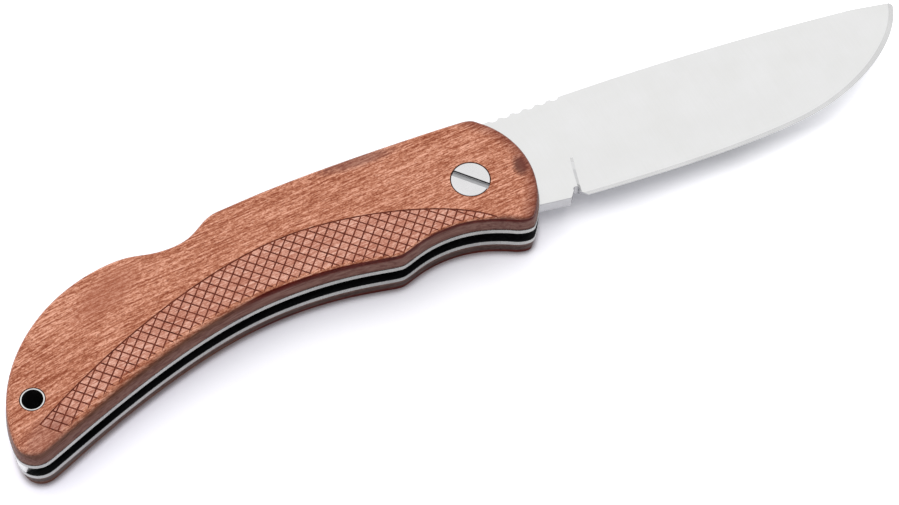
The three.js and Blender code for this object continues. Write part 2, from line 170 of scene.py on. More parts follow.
# Plunge line, choil, jimping and nail nick
PLUNGE_START = (21.25, -10.8)
PLUNGE_LEAN = 0.85
PLUNGE_CURVE = 1.6
PLUNGE_REACH = 0.25
PLUNGE_WIDTH = 0.75
CHOIL_TOP = (20.4, -8.7)
CHOIL_RADIUS = 0.7
CHOIL_FLARE = (3.1, 2.6)
CHOIL_DEPTH = 4
JIMPING_START = 13.15
JIMPING_PITCH = 2.83
JIMPING_COUNT = 6
JIMPING_RADIUS = 1.25
JIMPING_DEPTH = 0.55
NICK_PLACE = (58, 6.2)
NICK_WHEEL = 20
NICK_DEPTH = 0.7
NICK_WIDTH = 1.6

# Which faces of the blade are the edge bevel, and which stand on edge, by how level their normals are
BEVEL_FACING = (0.9, 0.975)
FLANK_FACING = 0.7

# Camera, as fitted to the photograph: place, then tilt, turn and roll in degrees
CAMERA_PLACE = (-131.3625, -231.4405, 435.6)
CAMERA_TURN = (30.5, -28.7, 1.0)
LENS = 96.107
SENSOR_WIDTH = 36
CLIP_START = 10

# Key lamp and room: angles in degrees, the lamp's distance and radius in metres
KEY_AZIMUTH = 105
KEY_ELEVATION = 77
KEY_DISTANCE = 0.9
KEY_RADIUS = 0.62
KEY_SHARE = 0.7
KEY_COLOUR = (1.0, 0.985, 0.96)
KEY_AIM = (-20, 0, 0)
SKY_COLOUR = (0.3008, 0.3104, 0.336, 1)
BRIGHT_SIDE = (75, 45)
ROOM_GLOW = [(0.3, (90, 91, 96)), (0.5, (150, 151, 156)), (0.65, (222, 223, 226)), (0.85, (252, 252, 252))]

# Floor: its colours and its own glow, and the places in X, or from the middle, where the glow changes
FLOOR_SIZE = 2500
FLOOR_DROP = 0.02
FLOOR_COLOUR = (0.985, 0.985, 1.0, 1)
CONTACT_SHADOW_COLOUR = (0.5, 0.48, 0.5, 1)
BOUNCE_COLOUR = (0.6, 0.6, 0.6, 1)
# The glow's tint shows only in the shadows, painting them bluer towards the tail
TAIL_TINT = (1.0, 0.98, 1.16, 1)
BLADE_TINT = (1.0, 1.0, 1.04, 1)
TINT_SPAN = (-60, 60)
GLOW = 0.2
# Past the tip and the tail the glow rises, painted light that fades the knife's shadow there
TIP_GLOW = 0.78
TIP_SPAN = (57, 102)
TAIL_GLOW = 0.33
TAIL_SPAN = (-60, -100)
FAR_SPAN = (200, 500)
# Painted contact shadow: where the floor is hemmed in within this reach, its colour and glow are darkened
CONTACT_REACH = 1.6
CONTACT_SPAN = (0.5, 0.92)
CONTACT_LEAST = 0.12
OPEN_REACH = 1.0

# Painted light: the floor's glow fades the blade's shadow on lines that fall towards the tip by this slope
SHADOW_SLOPE = 0.13
SHADOW_FADE = (-4.5, -9.5)
SHADOW_GLOW = 0.25
FRONT_SHARE = 0.55
FRONT_SPAN = (-4, 8)
BLADE_SPAN = (10, 50)

# Grain of the wood: stretched noises with their scale, detail, roughness, distortion and shift
BANDS = ((0.05, 0.4, 0.4), 1, 0.5, 0.3)
STREAKS = ((0.14, 2.5, 2.5), 3, 0.6, 0.35)
FLECKS = ((0.7, 3.0, 3.0), 3, 0.65, 0.6, (5, 2, 8))
SPECKLE = ((2.2, 3.6, 3.6), 2, 0.6, 0.4, (1, 7, 3))
PORES = ((0.8, 5.0, 5.0), 2, 0.5, 0.3)
GRAIN_BEND = -72
GRAIN_LIFT = 0.0027
GRAIN_CONTRAST = 0.083
GRAIN_DEPTH = 0.06
PORE_COLOUR = (112, 58, 40)

# Marks on the face of the wood: centre, reach, turn, depth of tone and colour
MARKS = [
    ((10.9, -1.8), (2.1, 3.1), -20, 0.9, (96, 54, 44)),
    ((-19, 15.0), (11, 2.1), -6, 0.6, (116, 72, 64)),
    # Painted shade where the border groove meets the crease at the front
    ((2.5, -12.4), (4.5, 1.6), -30, 0.6, (92, 42, 30)),
    ((-78, 10), (11, 5), 20, 0.5, (160, 90, 65)),
    ((-101.5, -12.4), (8, 5.5), 20, 0.4, (124, 76, 68)),
]
MARK_SPAN = (1.0, 0.45)
RAGGED = 0.8

# Shore between the spine and the belly, which falls away behind a place in X; the painted shade below the
# crease lies on the belly's side of it
SHORE = 4
SHORE_BEND = -60
SHORE_FALL = -0.0057
SHORE_SPAN = (4, -4)
SHORE_FRONT = (3, 8)

# Sides of the scales: a value for the long belly and one for the tail, heights from the middle plane
# The sides' colours are painted light and shade: painted shade in a band below the crease on the belly and
# front, and painted sheen beyond it and along the spine
TAIL_CHANGE = (-50, -60)
CREASE_HEIGHT = (6.62, 6.05)
CREASE_SOFTNESS = (-0.12, -0.7)
CREASE_LIFT = 0.25
CREASE_LIFT_SPAN = (-8, 2)
DEEP_SPAN = (-25, -12)
DEEP_REACH = (0.9, 0.5)
DEEP_TAIL_LESS = 0.5
DEEP_FADE = (-0.6, -1.6)
FLANK_SHARE = (0.7, 0.96)
# Painted shade on the face towards the rounded front of the handle, which faces away from the light
FRONT_CENTRE = (-5.1, -0.4)
FRONT_RIM = (15.0, 18.0)
FRONT_RIM_TONE = 0.7
FRONT_RIM_SPAN = (2, 6)
# Colours of the painted shade below the crease, along the belly and at the tail
CREASE_SHADE_TONES = ((72, 3, 0), (98, 12, 3))
TAIL_CREASE_SHADE_TONES = ((92, 52, 38), (124, 80, 62))
# Colours of painted sheen, lighter and greyer, on the sides beyond the shaded band and along the spine
PAINTED_SHEEN_TONES = ((122, 81, 73), (154, 114, 104))
# Painted shade low on the lower scale's sides, next to the floor, greyer towards the tail
LOWER_SHADE_TONES = ((62, 42, 38), (90, 70, 65))
LOWER_SPAN = (4.0, 3.0)
LOWER_TAIL_TONE = (92, 90, 90)
LOWER_TAIL_SPAN = (-86, -100)
LOWER_TAIL_SHARE = 0.8
SEAM_TONE = (40, 22, 20)
SEAM_SPAN = (3.1, 3.5)
SEAM_SHARE = 0.62


# Camera, lamp and room
def aimed(azimuth, elevation):
    """The unit vector at an azimuth from +X and at an elevation"""
    flat = math.cos(math.radians(elevation))
    turn = math.radians(azimuth)
    return Vector((math.cos(turn) * flat, math.sin(turn) * flat, math.sin(math.radians(elevation))))


def make_camera():
    data = bpy.data.cameras.new("camera")
    data.lens = LENS
    data.sensor_width = SENSOR_WIDTH
    data.clip_start = CLIP_START * MM
    camera = bpy.data.objects.new("camera", data)
    bpy.context.scene.collection.objects.link(camera)
    tilt, turn, roll = (math.radians(a) for a in CAMERA_TURN)
    turned_by = Matrix.Rotation(turn, 4, "Z") @ Matrix.Rotation(tilt, 4, "X") @ Matrix.Rotation(roll, 4, "Z")
    camera.matrix_world = Matrix.Translation(Vector(CAMERA_PLACE) * MM) @ turned_by
    bpy.context.scene.camera = camera


def make_key_lamp():
    data = bpy.data.lights.new("key", "AREA")
    data.shape = "DISK"
    data.size = 2 * KEY_RADIUS
    data.color = KEY_COLOUR
    spread = KEY_DISTANCE ** 2 + KEY_RADIUS ** 2
    data.energy = KEY_SHARE * math.pi ** 2 * spread / math.sin(math.radians(KEY_ELEVATION))
    key = bpy.data.objects.new("key", data)
    bpy.context.scene.collection.objects.link(key)
    direction = aimed(KEY_AZIMUTH, KEY_ELEVATION)
    facing = direction.to_track_quat("Z", "Y").to_matrix().to_4x4()
    key.matrix_world = Matrix.Translation(Vector(KEY_AIM) * MM + direction * KEY_DISTANCE) @ facing
    key.visible_glossy = False
    key.visible_camera = False


def make_room():
    """A plain sky for light, white to the camera, and brighter on one side where metal mirrors it"""
    world = bpy.data.worlds.new("studio")
    bpy.context.scene.world = world
    world.use_nodes = True
    room = Finish("studio", world.node_tree)
    inputs = {0: room.node("TexCoord", "Generated"), 1: aimed(*BRIGHT_SIDE)}
    facing = room.node("VectorMath", "Value", inputs, operation="DOT_PRODUCT")
    glow = room.ramp(room.span(facing, -1, 1), *ROOM_GLOW)
    path = room.whole_node("LightPath")
    mirrored = room.sums("MAXIMUM", path["Is Glossy Ray"], path["Is Transmission Ray"])
    tone = room.mix(mirrored, SKY_COLOUR, glow)
    tone = room.mix(path["Is Camera Ray"], tone, (1, 1, 1, 1))
    room.feed(world.node_tree.nodes["Background"].inputs["Color"], tone)


# Materials from nodes
def srgb(*levels):
    """A colour as it is read off a screen, 0 to 255, as linear light"""
    return [*((v / 255 / 12.92 if v <= 10 else ((v / 255 + 0.055) / 1.055) ** 2.4) for v in levels), 1]


class Finish:
    """A procedural material, with short ways to add and link its nodes. Patterns are in millimetres"""

    def __init__(self, name, tree=None):
        if tree is None:
            self.material = bpy.data.materials.new(name)
            self.material.use_nodes = True
            tree = self.material.node_tree
        self.tree = tree
        self.shader = tree.nodes.get("Principled BSDF")
        self.field = None

    def whole_node(self, kind, inputs=(), **settings):
        """All outlets of a new node"""
        node = self.tree.nodes.new("ShaderNode" + kind)
        for key, value in settings.items():
            setattr(node, key, value)
        for key, value in dict(inputs).items():
            self.feed(node.inputs[key], value)
        return node.outputs

    def node(self, kind, outlet=0, inputs=(), **settings):
        return self.whole_node(kind, inputs, **settings)[outlet]

    def feed(self, socket, value):
        if isinstance(value, bpy.types.NodeSocket):
            self.tree.links.new(value, socket)
        else:
            socket.default_value = value

    def coordinates(self):
        """Object coordinates in millimetres"""
        return self.node("VectorMath", 0, {0: self.node("TexCoord", "Object"), 3: 1 / MM}, operation="SCALE")

    def axes(self):
        return self.whole_node("SeparateXYZ", {0: self.coordinates()})

    def noise(self, scale, detail=2.0, roughness=0.5, distortion=0.0, shift=(0, 0, 0)):
        if self.field is None:
            self.field = self.coordinates()
        place = self.node("Mapping", inputs={"Vector": self.field, "Scale": scale, "Location": shift})
        inputs = {"Vector": place, "Scale": 1, "Detail": detail,
                  "Roughness": roughness, "Distortion": distortion}
        return self.node("TexNoise", "Fac", inputs)

    def spot(self, centre, reach, turn):
        """How far from a centre, in half widths of an ellipse that is turned by an angle"""
        inputs = {"Vector": self.field, "Location": (*centre, 0), "Rotation": (0, 0, math.radians(turn)),
                  "Scale": (*reach, 1e6)}
        local = self.node("Mapping", inputs=inputs, vector_type="TEXTURE")
        return self.node("VectorMath", "Value", {0: local}, operation="LENGTH")

    def span(self, value, low, high, first=0.0, last=1.0):
        """Takes the stretch from low to high onto the one from first to last"""
        inputs = {"Value": value, "From Min": low, "From Max": high, "To Min": first, "To Max": last}
        return self.node("MapRange", inputs=inputs)

    def sums(self, operation, a, b=0.5, c=0.0):
        return self.node("Math", inputs={0: a, 1: b, 2: c}, operation=operation)

    def weighed(self, *terms):
        """The sum of values, each times its weight"""
        total = 0.0
        for value, weight in terms:
            total = self.sums("MULTIPLY_ADD", value, weight, total)
        return total

    def mix(self, factor, a, b):
        return self.node("Mix", 2, {0: factor, 6: a, 7: b}, data_type="RGBA")

    def ramp(self, value, *stops):
        """A colour ramp whose colours are as read off a screen"""
        node = self.tree.nodes.new("ShaderNodeValToRGB")
        self.feed(node.inputs[0], value)
        bands = node.color_ramp.elements
        while len(bands) < len(stops):
            bands.new(0.5)
        for band, (place, colour) in zip(bands, stops):
            band.position = place
            band.color = srgb(*colour)
        return node.outputs[0]

    def bump(self, height, depth):
        return self.node("Bump", inputs={"Height": height, "Distance": depth * MM, "Strength": 1.0})

    def set(self, **sockets):
        for key, value in sockets.items():
            self.feed(self.shader.inputs[key.replace("_", " ")], value)
        return self.material


# Floor
def floor_glow(finish):
    """How much the floor glows: more past the tip and the tail and in the blade's outer shadow, painted light
    that fades the knife's shadow there, and far off
    """
    x, y, _ = finish.axes()
    glow = finish.sums("MAXIMUM", finish.span(x, *TIP_SPAN, GLOW, TIP_GLOW),
                       finish.span(x, *TAIL_SPAN, GLOW, TAIL_GLOW))
    shadow_lift = finish.sums("ADD", y, finish.sums("MULTIPLY", x, SHADOW_SLOPE))
    shadow_lift = finish.span(shadow_lift, *SHADOW_FADE, 0, SHADOW_GLOW)
    ahead = finish.sums("MAXIMUM", finish.span(x, *FRONT_SPAN, 0, FRONT_SHARE), finish.span(x, *BLADE_SPAN))
    glow = finish.sums("MULTIPLY_ADD", shadow_lift, ahead, glow)
    distance = finish.node("VectorMath", "Value", {0: finish.coordinates()}, operation="LENGTH")
    return finish.sums("MAXIMUM", glow, finish.span(distance, *FAR_SPAN))


def floor_tint(finish):
    """The colour of the glow, which changes along the knife"""
    x, _, _ = finish.axes()
    return finish.mix(finish.span(x, *TINT_SPAN), TAIL_TINT, BLADE_TINT)


def make_floor():
    """A pale floor that keeps the knife's shadow, with a painted contact shadow and painted light that fades
    the shadow, open from below and to rays that start close by
    """
    bm = bmesh.new()
    bmesh.ops.create_grid(bm, x_segments=1, y_segments=1, size=FLOOR_SIZE)
    bmesh.ops.translate(bm, vec=(0, 0, -FLOOR_DROP), verts=bm.verts)
    finish = Finish("pale_floor")
    path = finish.whole_node("LightPath")
    seen = finish.sums("MAXIMUM", path["Is Camera Ray"], path["Is Glossy Ray"])
    seen = finish.sums("MAXIMUM", seen, path["Is Transmission Ray"])
    seen = finish.sums("MULTIPLY", seen, finish.sums("LESS_THAN", path["Diffuse Depth"], 0.5))
    corner = finish.node("AmbientOcclusion", "AO", {"Distance": CONTACT_REACH * MM}, samples=8)
    contact_shade = finish.span(corner, *CONTACT_SPAN, CONTACT_LEAST, 1)
    tone = finish.mix(seen, BOUNCE_COLOUR, finish.mix(contact_shade, CONTACT_SHADOW_COLOUR, FLOOR_COLOUR))
    lit = finish.node("BsdfDiffuse", inputs={"Color": tone})
    strength = finish.sums("MULTIPLY", seen, finish.sums("MULTIPLY", floor_glow(finish), contact_shade))
    glow = finish.node("Emission", inputs={"Color": floor_tint(finish), "Strength": strength})
    both = finish.node("AddShader", inputs={0: lit, 1: glow})
    near = finish.sums("LESS_THAN", path["Ray Length"], OPEN_REACH * MM)
    near = finish.sums("SUBTRACT", near, path["Is Camera Ray"])
    open_floor = finish.sums("MAXIMUM", finish.node("NewGeometry", "Backfacing"), near)
    clear = finish.node("BsdfTransparent")
    surface = finish.node("MixShader", inputs={0: open_floor, 1: both, 2: clear})
    finish.feed(finish.tree.nodes["Material Output"].inputs["Surface"], surface)
    floor = solid("floor", bm, [finish.material])
    floor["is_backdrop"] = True


# Ways to shape a piece
def solid(name, bm, finishes=(), scale=MM):
    """An object from a bmesh in millimetres, at the origin"""
    bmesh.ops.scale(bm, vec=(scale, scale, scale), verts=bm.verts)
    mesh = bpy.data.meshes.new(name)
    bm.to_mesh(mesh)
    bm.free()
    for finish in finishes:
        mesh.materials.append(finish)
    obj = bpy.data.objects.new(name, mesh)
    bpy.context.scene.collection.objects.link(obj)
    return obj


def lifted(obj):
    """The bmesh of an object, which is used up"""
    bm = bmesh.new()
    bm.from_mesh(obj.data)
    bpy.data.objects.remove(obj)
    return bm


def in_metres(obj):
    """Shrinks a piece that was carved in millimetres"""
    for vertex in obj.data.vertices:
        vertex.co *= MM
    return obj


def carve(obj, shape, operation="DIFFERENCE"):
    """Cuts a solid with a bmesh, which is used up"""
    cutter = solid("cutter", shape, scale=1)
    modifier = obj.modifiers.new("carve", "BOOLEAN")
    modifier.object = cutter
    modifier.operation = operation
    modifier.solver = "MANIFOLD"
    graph = bpy.context.evaluated_depsgraph_get()
    mesh = bpy.data.meshes.new_from_object(obj.evaluated_get(graph), depsgraph=graph)
    obj.modifiers.clear()
    used = [obj.data, cutter.data]
    obj.data = mesh
    bpy.data.objects.remove(cutter)
    for data in used:
        bpy.data.meshes.remove(data)
    return obj


def loft(sections, finish=0):
    """A closed solid through matching sections: a face that is extruded from each one to the next"""
    bm = bmesh.new()
    station = bm.verts.layers.int.new("station")
    for i, point in enumerate(sections[0]):
        bm.verts.new(point)[station] = i
    face = bm.faces.new(bm.verts)
    for row, section in enumerate(sections[1:]):
        moved = bmesh.ops.extrude_face_region(bm, geom=[face])["geom"]
        if row:
            bmesh.ops.delete(bm, geom=[face], context="FACES_ONLY")
        for part in moved:
            if isinstance(part, bmesh.types.BMVert):
                part.co = section[part[station]]
            elif isinstance(part, bmesh.types.BMFace):
                face = part
    bmesh.ops.recalc_face_normals(bm, faces=bm.faces)
    for face in bm.faces:
        face.material_index = finish
    return bm


def plate(outline, bottom, top):
    return loft([[Vector((p.x, p.y, z)) for p in outline] for z in (bottom, top)])


def rod(centre, radius, bottom, top, steps=96, finish=0):
    bm = bmesh.new()
    middle = Matrix.Translation((*centre, (bottom + top) / 2))
    bmesh.ops.create_cone(bm, cap_ends=True, segments=steps, radius1=radius, radius2=radius,
                          depth=top - bottom, matrix=middle)
    for face in bm.faces:
        face.material_index = finish
    return bm


def turned(profile, centre=PIVOT, steps=ROUND_STEPS):
    """A solid spun about an upright axis from points of radius and height"""
    bm = bmesh.new()
    points = [bm.verts.new((radius, 0, height)) for radius, height in profile]
    closed = profile[0][0] > 0
    for a, b in zip(points, points[1:] + points[:1] if closed else points[1:]):
        bm.edges.new((a, b))
    bmesh.ops.spin(bm, geom=bm.verts[:] + bm.edges[:], cent=(0, 0, 0), axis=(0, 0, 1), dvec=(0, 0, 0),
                   angle=2 * math.pi, steps=steps, use_merge=True)
    bmesh.ops.remove_doubles(bm, verts=bm.verts, dist=1e-4)
    bmesh.ops.recalc_face_normals(bm, faces=bm.faces)
    bmesh.ops.translate(bm, vec=(*centre, 0), verts=bm.verts)
    return bm


def joined(shapes):
    """One bmesh from several"""
    whole = bmesh.new()
    for bm in shapes:
        mesh = bpy.data.meshes.new("part")
        bm.to_mesh(mesh)
        bm.free()
        whole.from_mesh(mesh)
        bpy.data.meshes.remove(mesh)
    return whole


def polish(obj, angle=30, flats=True):
    """Smooth shading, with sharp edges where faces turn by more than an angle or meet a level face"""
    bm = bmesh.new()
    bm.from_mesh(obj.data)
    flat = {face for face in bm.faces if flats and abs(face.normal.z) > 0.99999}
    limit = math.radians(angle)
    for face in bm.faces:
        face.smooth = True
    for edge in bm.edges:
        faces = edge.link_faces
        crisp = len(faces) != 2 or edge.calc_face_angle(0) > limit or (faces[0] in flat) != (faces[1] in flat)
        edge.smooth = not crisp
    bm.to_mesh(obj.data)
    bm.free()
    return obj


def settle(obj, body, slot, *replaced):
    """Puts a finished piece on its body and hides the solid it stands for; the slot of its finish is not used
    """
    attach(obj, body)
    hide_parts(*replaced)


# Curves and outlines
def toward(angle):
    return Vector((math.cos(math.radians(angle)), math.sin(math.radians(angle))))


def angle_from(centre, point):
    return math.degrees(math.atan2(point[1] - centre[1], point[0] - centre[0]))


def curve(a, b, c, d, steps):
    return list(interpolate_bezier(*(Vector((p[0], p[1], 0)) for p in (a, b, c, d)), steps + 1))


def swept(a, control, b, steps):
    """Points on a curve between two places that one control point draws aside"""
    return curve(a, a + (control - a) * 2 / 3, b + (control - b) * 2 / 3, b, steps)


def bend(start, end, steps):
    """Points on a curve between two knots, along the heading of each"""
    a = Vector(start[:2])
    b = Vector(end[:2])
    return curve(a, a + toward(start.heading) * start.after, b - toward(end.heading) * end.before, b, steps)


def arc(centre, radius, first, last, steps):
    """Points on an arc between two angles in degrees"""
    turn = (last - first) / steps
    return [Vector((*(Vector(centre) + toward(first + turn * i) * radius), 0)) for i in range(steps + 1)]


def inwards(outline):
    """The way in from each point of an outline, as far as draws both sides of the point in by one"""
    ways = []
    for i, point in enumerate(outline):
        before = (point - outline[i - 1]).normalized()
        after = (outline[(i + 1) % len(outline)] - point).normalized()
        way = Vector((-before.y - after.y, before.x + after.x, 0))
        ways.append(way / (1 + before.dot(after)))
    return ways


def eased(outline, bottom, top):
    """A plate whose two rims are broken with a fine bevel"""
    ways = inwards(outline)
    steps = [(PLATE_EASE, bottom), (0, bottom + PLATE_EASE), (0, top - PLATE_EASE), (PLATE_EASE, top)]
    return loft([[p + way * draw + Vector((0, 0, z)) for p, way in zip(outline, ways)] for draw, z in steps])


def merged(node):
    """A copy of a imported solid's mesh in millimetres, with its doubles merged"""
    bm = bmesh.new()
    bm.from_mesh(nodes[node].data)
    bmesh.ops.scale(bm, vec=(1 / MM, 1 / MM, 1 / MM), verts=bm.verts)
    bmesh.ops.remove_doubles(bm, verts=bm.verts, dist=TOUCH)
    return bm


def rim_of(node, height):
    """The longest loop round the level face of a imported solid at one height, counterclockwise"""
    bm = merged(node)
    flat = {f for f in bm.faces if all(abs(v.co.z - height) < TOUCH for v in f.verts)}
    rims = [e for e in bm.edges if sum(f in flat for f in e.link_faces) == 1]
    loops = []
    while rims:
        first = rims.pop()
        loop = [first.verts[0], first.verts[1]]
        while loop[-1] is not loop[0]:
            edge = next(e for e in rims if loop[-1] in e.verts)
            rims.remove(edge)
            loop.append(edge.other_vert(loop[-1]))
        loops.append([Vector((v.co.x, v.co.y, 0)) for v in loop[:-1]])
    bm.free()
    longest = max(loops, key=lambda loop: max(p.x for p in loop) - min(p.x for p in loop))
    area = sum(a.cross(b).z for a, b in zip(longest, longest[1:] + longest[:1]))
    return longest if area > 0 else longest[::-1]


def flowing(outline):
    """A closed outline with each side split along a curve through the points, kept inside their box"""
    count = len(outline)
    low = [min(p[axis] for p in outline) for axis in range(3)]
    high = [max(p[axis] for p in outline) for axis in range(3)]
    headings = []
    for i, point in enumerate(outline):
        before = point - outline[i - 1]
        after = outline[(i + 1) % count] - point
        heading = before.normalized() * after.length + after.normalized() * before.length
        headings.append(heading.normalized())
    fine = []
    for i, point in enumerate(outline):
        end = outline[(i + 1) % count]
        third = (end - point).length / 3
        leaving = point + headings[i] * third
        arriving = end - headings[(i + 1) % count] * third
        fine += interpolate_bezier(point, leaving, arriving, end, STATION_PARTS + 1)[:-1]
    return [Vector(min(max(p[axis], low[axis]), high[axis]) for axis in range(3)) for p in fine]


# Finishes
def marked(wood, colour, flecks):
    """The knot and darker patches on the face, one of them painted shade where the border groove meets the
    crease, with ragged rims
    """
    ragged = wood.sums("MULTIPLY_ADD", flecks, RAGGED, -RAGGED / 2)
    for centre, reach, turn, depth, shade in MARKS:
        near = wood.sums("ADD", wood.spot(centre, reach, turn), ragged)
        colour = wood.mix(wood.span(near, *MARK_SPAN, 0, depth), colour, srgb(*shade))
    return colour


def belly_share(wood, x, y):
    """1 on the belly and the front of the handle, which face away from the light and get painted shade below
    the crease, and 0 along its spine
    """
    rear = wood.sums("MAXIMUM", wood.sums("SUBTRACT", SHORE_BEND, x), 0)
    shore = wood.sums("MULTIPLY_ADD", wood.sums("POWER", rear, 2), SHORE_FALL, SHORE)
    belly = wood.span(wood.sums("SUBTRACT", y, shore), *SHORE_SPAN)
    return wood.sums("MAXIMUM", belly, wood.span(x, *SHORE_FRONT))


def side_tones(wood, x, y, z, streaks):
    """The painted colour of a scale's sides, its share over the face's, and how far past the crease a point
    is: painted shade below the crease, painted sheen beyond it and along the spine, and painted shade low on
    the lower scale
    """
    def streaky(tones):
        return wood.ramp(streaks, (0.35, tones[0]), (0.6, tones[1]))

    tail = wood.span(x, *TAIL_CHANGE)
    belly = belly_share(wood, x, y)
    height = wood.sums("ABSOLUTE", wood.sums("SUBTRACT", z, MIDDLE))
    above = wood.sums("SUBTRACT", height, wood.span(tail, 0, 1, *CREASE_HEIGHT))
    above = wood.sums("ADD", above, wood.span(x, *CREASE_LIFT_SPAN, 0, CREASE_LIFT))
    side = wood.span(wood.sums("DIVIDE", above, wood.span(tail, 0, 1, *CREASE_SOFTNESS)), -1, 0)
    crease_shade = wood.mix(tail, streaky(CREASE_SHADE_TONES), streaky(TAIL_CREASE_SHADE_TONES))
    seam = wood.sums("MAXIMUM", wood.span(height, *SEAM_SPAN, SEAM_SHARE, 1), tail)
    # Painted sheen on the sides, darker at the seam with the liner
    sheen_and_shade = wood.mix(seam, srgb(*SEAM_TONE), streaky(PAINTED_SHEEN_TONES))
    # Painted shade low on the lower scale's sides, greyer towards the tail
    rear = wood.span(x, *LOWER_TAIL_SPAN, 0, LOWER_TAIL_SHARE)
    lower = wood.mix(rear, streaky(LOWER_SHADE_TONES), srgb(*LOWER_TAIL_TONE))
    sheen_and_shade = wood.mix(wood.span(z, *LOWER_SPAN), sheen_and_shade, lower)
    depth = wood.sums("SUBTRACT", wood.span(x, *DEEP_SPAN, *DEEP_REACH),
                      wood.span(tail, 0, 1, 0, DEEP_TAIL_LESS))
    fade = wood.sums("DIVIDE", wood.sums("ADD", above, depth), wood.span(tail, 0, 1, *DEEP_FADE))
    fade = wood.sums("MAXIMUM", wood.span(fade, 0, 1), wood.span(belly, 0.5, 0))
    flank = wood.sums("MULTIPLY", side, wood.span(belly, 0, 1, *FLANK_SHARE))
    return wood.mix(fade, crease_shade, sheen_and_shade), flank, side


def oiled_wood(name, dark, middle, light):
    """Oiled wood: faint bands, long streaks and flecks along X, speckle, pores, marks, and sides painted with
    shade and sheen
    """
    wood = Finish(name)
    x, y, z = wood.axes()
    rear = wood.sums("MAXIMUM", wood.sums("SUBTRACT", GRAIN_BEND, x), 0)
    lift = wood.sums("MULTIPLY", wood.sums("MULTIPLY", rear, rear), GRAIN_LIFT)
    wood.field = wood.node("CombineXYZ", inputs={0: x, 1: wood.sums("ADD", y, lift), 2: z})
    patterns = (BANDS, STREAKS, FLECKS, SPECKLE, PORES)
    bands, streaks, flecks, speckle, pores = (wood.noise(*pattern) for pattern in patterns)
    tone = wood.weighed((streaks, 0.35), (flecks, 0.32), (speckle, 0.24), (bands, 0.09))
    colour = wood.ramp(tone, (0.5 - GRAIN_CONTRAST, dark), (0.5, middle), (0.5 + GRAIN_CONTRAST, light))
    colour = wood.mix(wood.span(pores, 0.6, 0.72, 0, 0.6), colour, srgb(*PORE_COLOUR))
    colour = marked(wood, colour, flecks)
    # Painted shade on the face towards the rounded front
    rim = wood.span(wood.spot(FRONT_CENTRE, (1, 1), 0), *FRONT_RIM, 0, FRONT_RIM_TONE)
    rim = wood.sums("MULTIPLY", rim, wood.span(x, *FRONT_RIM_SPAN))
    tones, flank, side = side_tones(wood, x, y, z, streaks)
    # The sides' painted shade and sheen, and the painted shade at the front rim, are laid over the wood's own
    # colour
    wood.set(Base_Color=wood.mix(wood.sums("MAXIMUM", flank, rim), colour, tones))
    wood.set(Normal=wood.bump(wood.weighed((flecks, 0.6), (pores, -0.5), (streaks, 0.5)), GRAIN_DEPTH))
    wood.set(Roughness=wood.span(streaks, 0.3, 0.7, 0.56, 0.42))
    return wood.set(Specular_IOR_Level=wood.span(side, 0, 1, 0.3, 0.1))


# Darker wood for the grooves of the checkering
def dark_groove_wood():
    wood = Finish("dark_groove")
    mottle = wood.noise((1.2, 1.2, 1.2), 3)
    wood.set(Base_Color=wood.ramp(mottle, (0.3, (98, 41, 28)), (0.7, (148, 78, 56))))
    wood.set(Roughness=wood.span(mottle, 0.3, 0.7, 0.7, 0.85))
    return wood.set(Normal=wood.bump(mottle, 0.04))


def bore_shade_steel():
    """Steel near black for painted shade deep in the lanyard bore: matt, and a little blotchy"""
    steel = Finish("bore_shade")
    cloud = steel.noise((1.5, 1.5, 0.6), 3)
    steel.set(Base_Color=steel.ramp(cloud, (0.35, (16, 14, 14)), (0.65, (34, 30, 30))))
    steel.set(Metallic=0.4, Roughness=steel.span(cloud, 0.3, 0.7, 0.6, 0.8))
    return steel.set(Normal=steel.bump(cloud, 0.02))


def ground(name, dark, light, roughness, scale, marks=0.004, play=0.06):
    """Metal ground in one direction: fine marks drawn out along it, and a faint mottle of tone"""
    metal = Finish(name)
    lines = metal.noise(scale, 3, 0.6)
    cloud = metal.noise((0.12, 0.12, 0.12), 3, 0.55)
    tone = metal.weighed((lines, 0.35), (cloud, 0.65))
    metal.set(Base_Color=metal.ramp(tone, (0.35, dark), (0.65, light)))
    metal.set(Metallic=1.0, Roughness=metal.span(lines, 0.3, 0.7, roughness - play, roughness + play))
    return metal.set(Normal=metal.bump(lines, marks))


